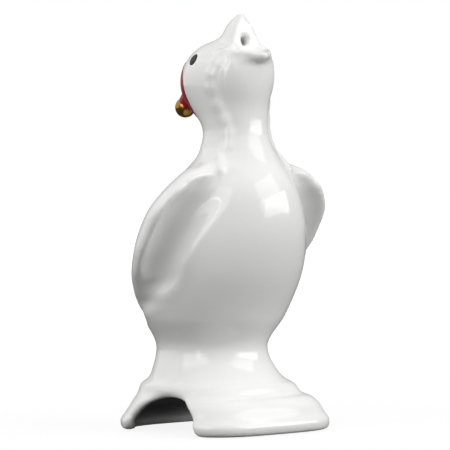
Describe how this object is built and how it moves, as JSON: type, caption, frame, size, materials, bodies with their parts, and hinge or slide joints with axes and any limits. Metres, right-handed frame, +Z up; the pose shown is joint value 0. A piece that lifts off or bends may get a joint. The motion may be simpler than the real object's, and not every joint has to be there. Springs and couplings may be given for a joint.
{
  "type": "pie bird",
  "caption": "Ceramic pie bird: hollow bird on a stepped foot with side arches, venting steam through its raised open beak.",
  "frame": {"origin": "middle of the foot's resting face, under the middle of the plinth", "axes": "+Z up, the bird's breast and palate face -Y, +X is the bird's left side"},
  "size_m": [0.0614, 0.0468, 0.11],
  "materials": {
    "white_glaze": "clear glossy glaze over white stoneware",
    "red_enamel": "glossy fired red enamel",
    "gold_lustre": "fired gold lustre over glaze",
    "black_enamel": "glossy fired black enamel"
  },
  "bodies": {
    "root": {"bird_body": "white_glaze", "cap": "red_enamel", "cap_ball": "gold_lustre", "eye_left": "black_enamel", "eye_right": "black_enamel"}
  },
  "joints": []
}
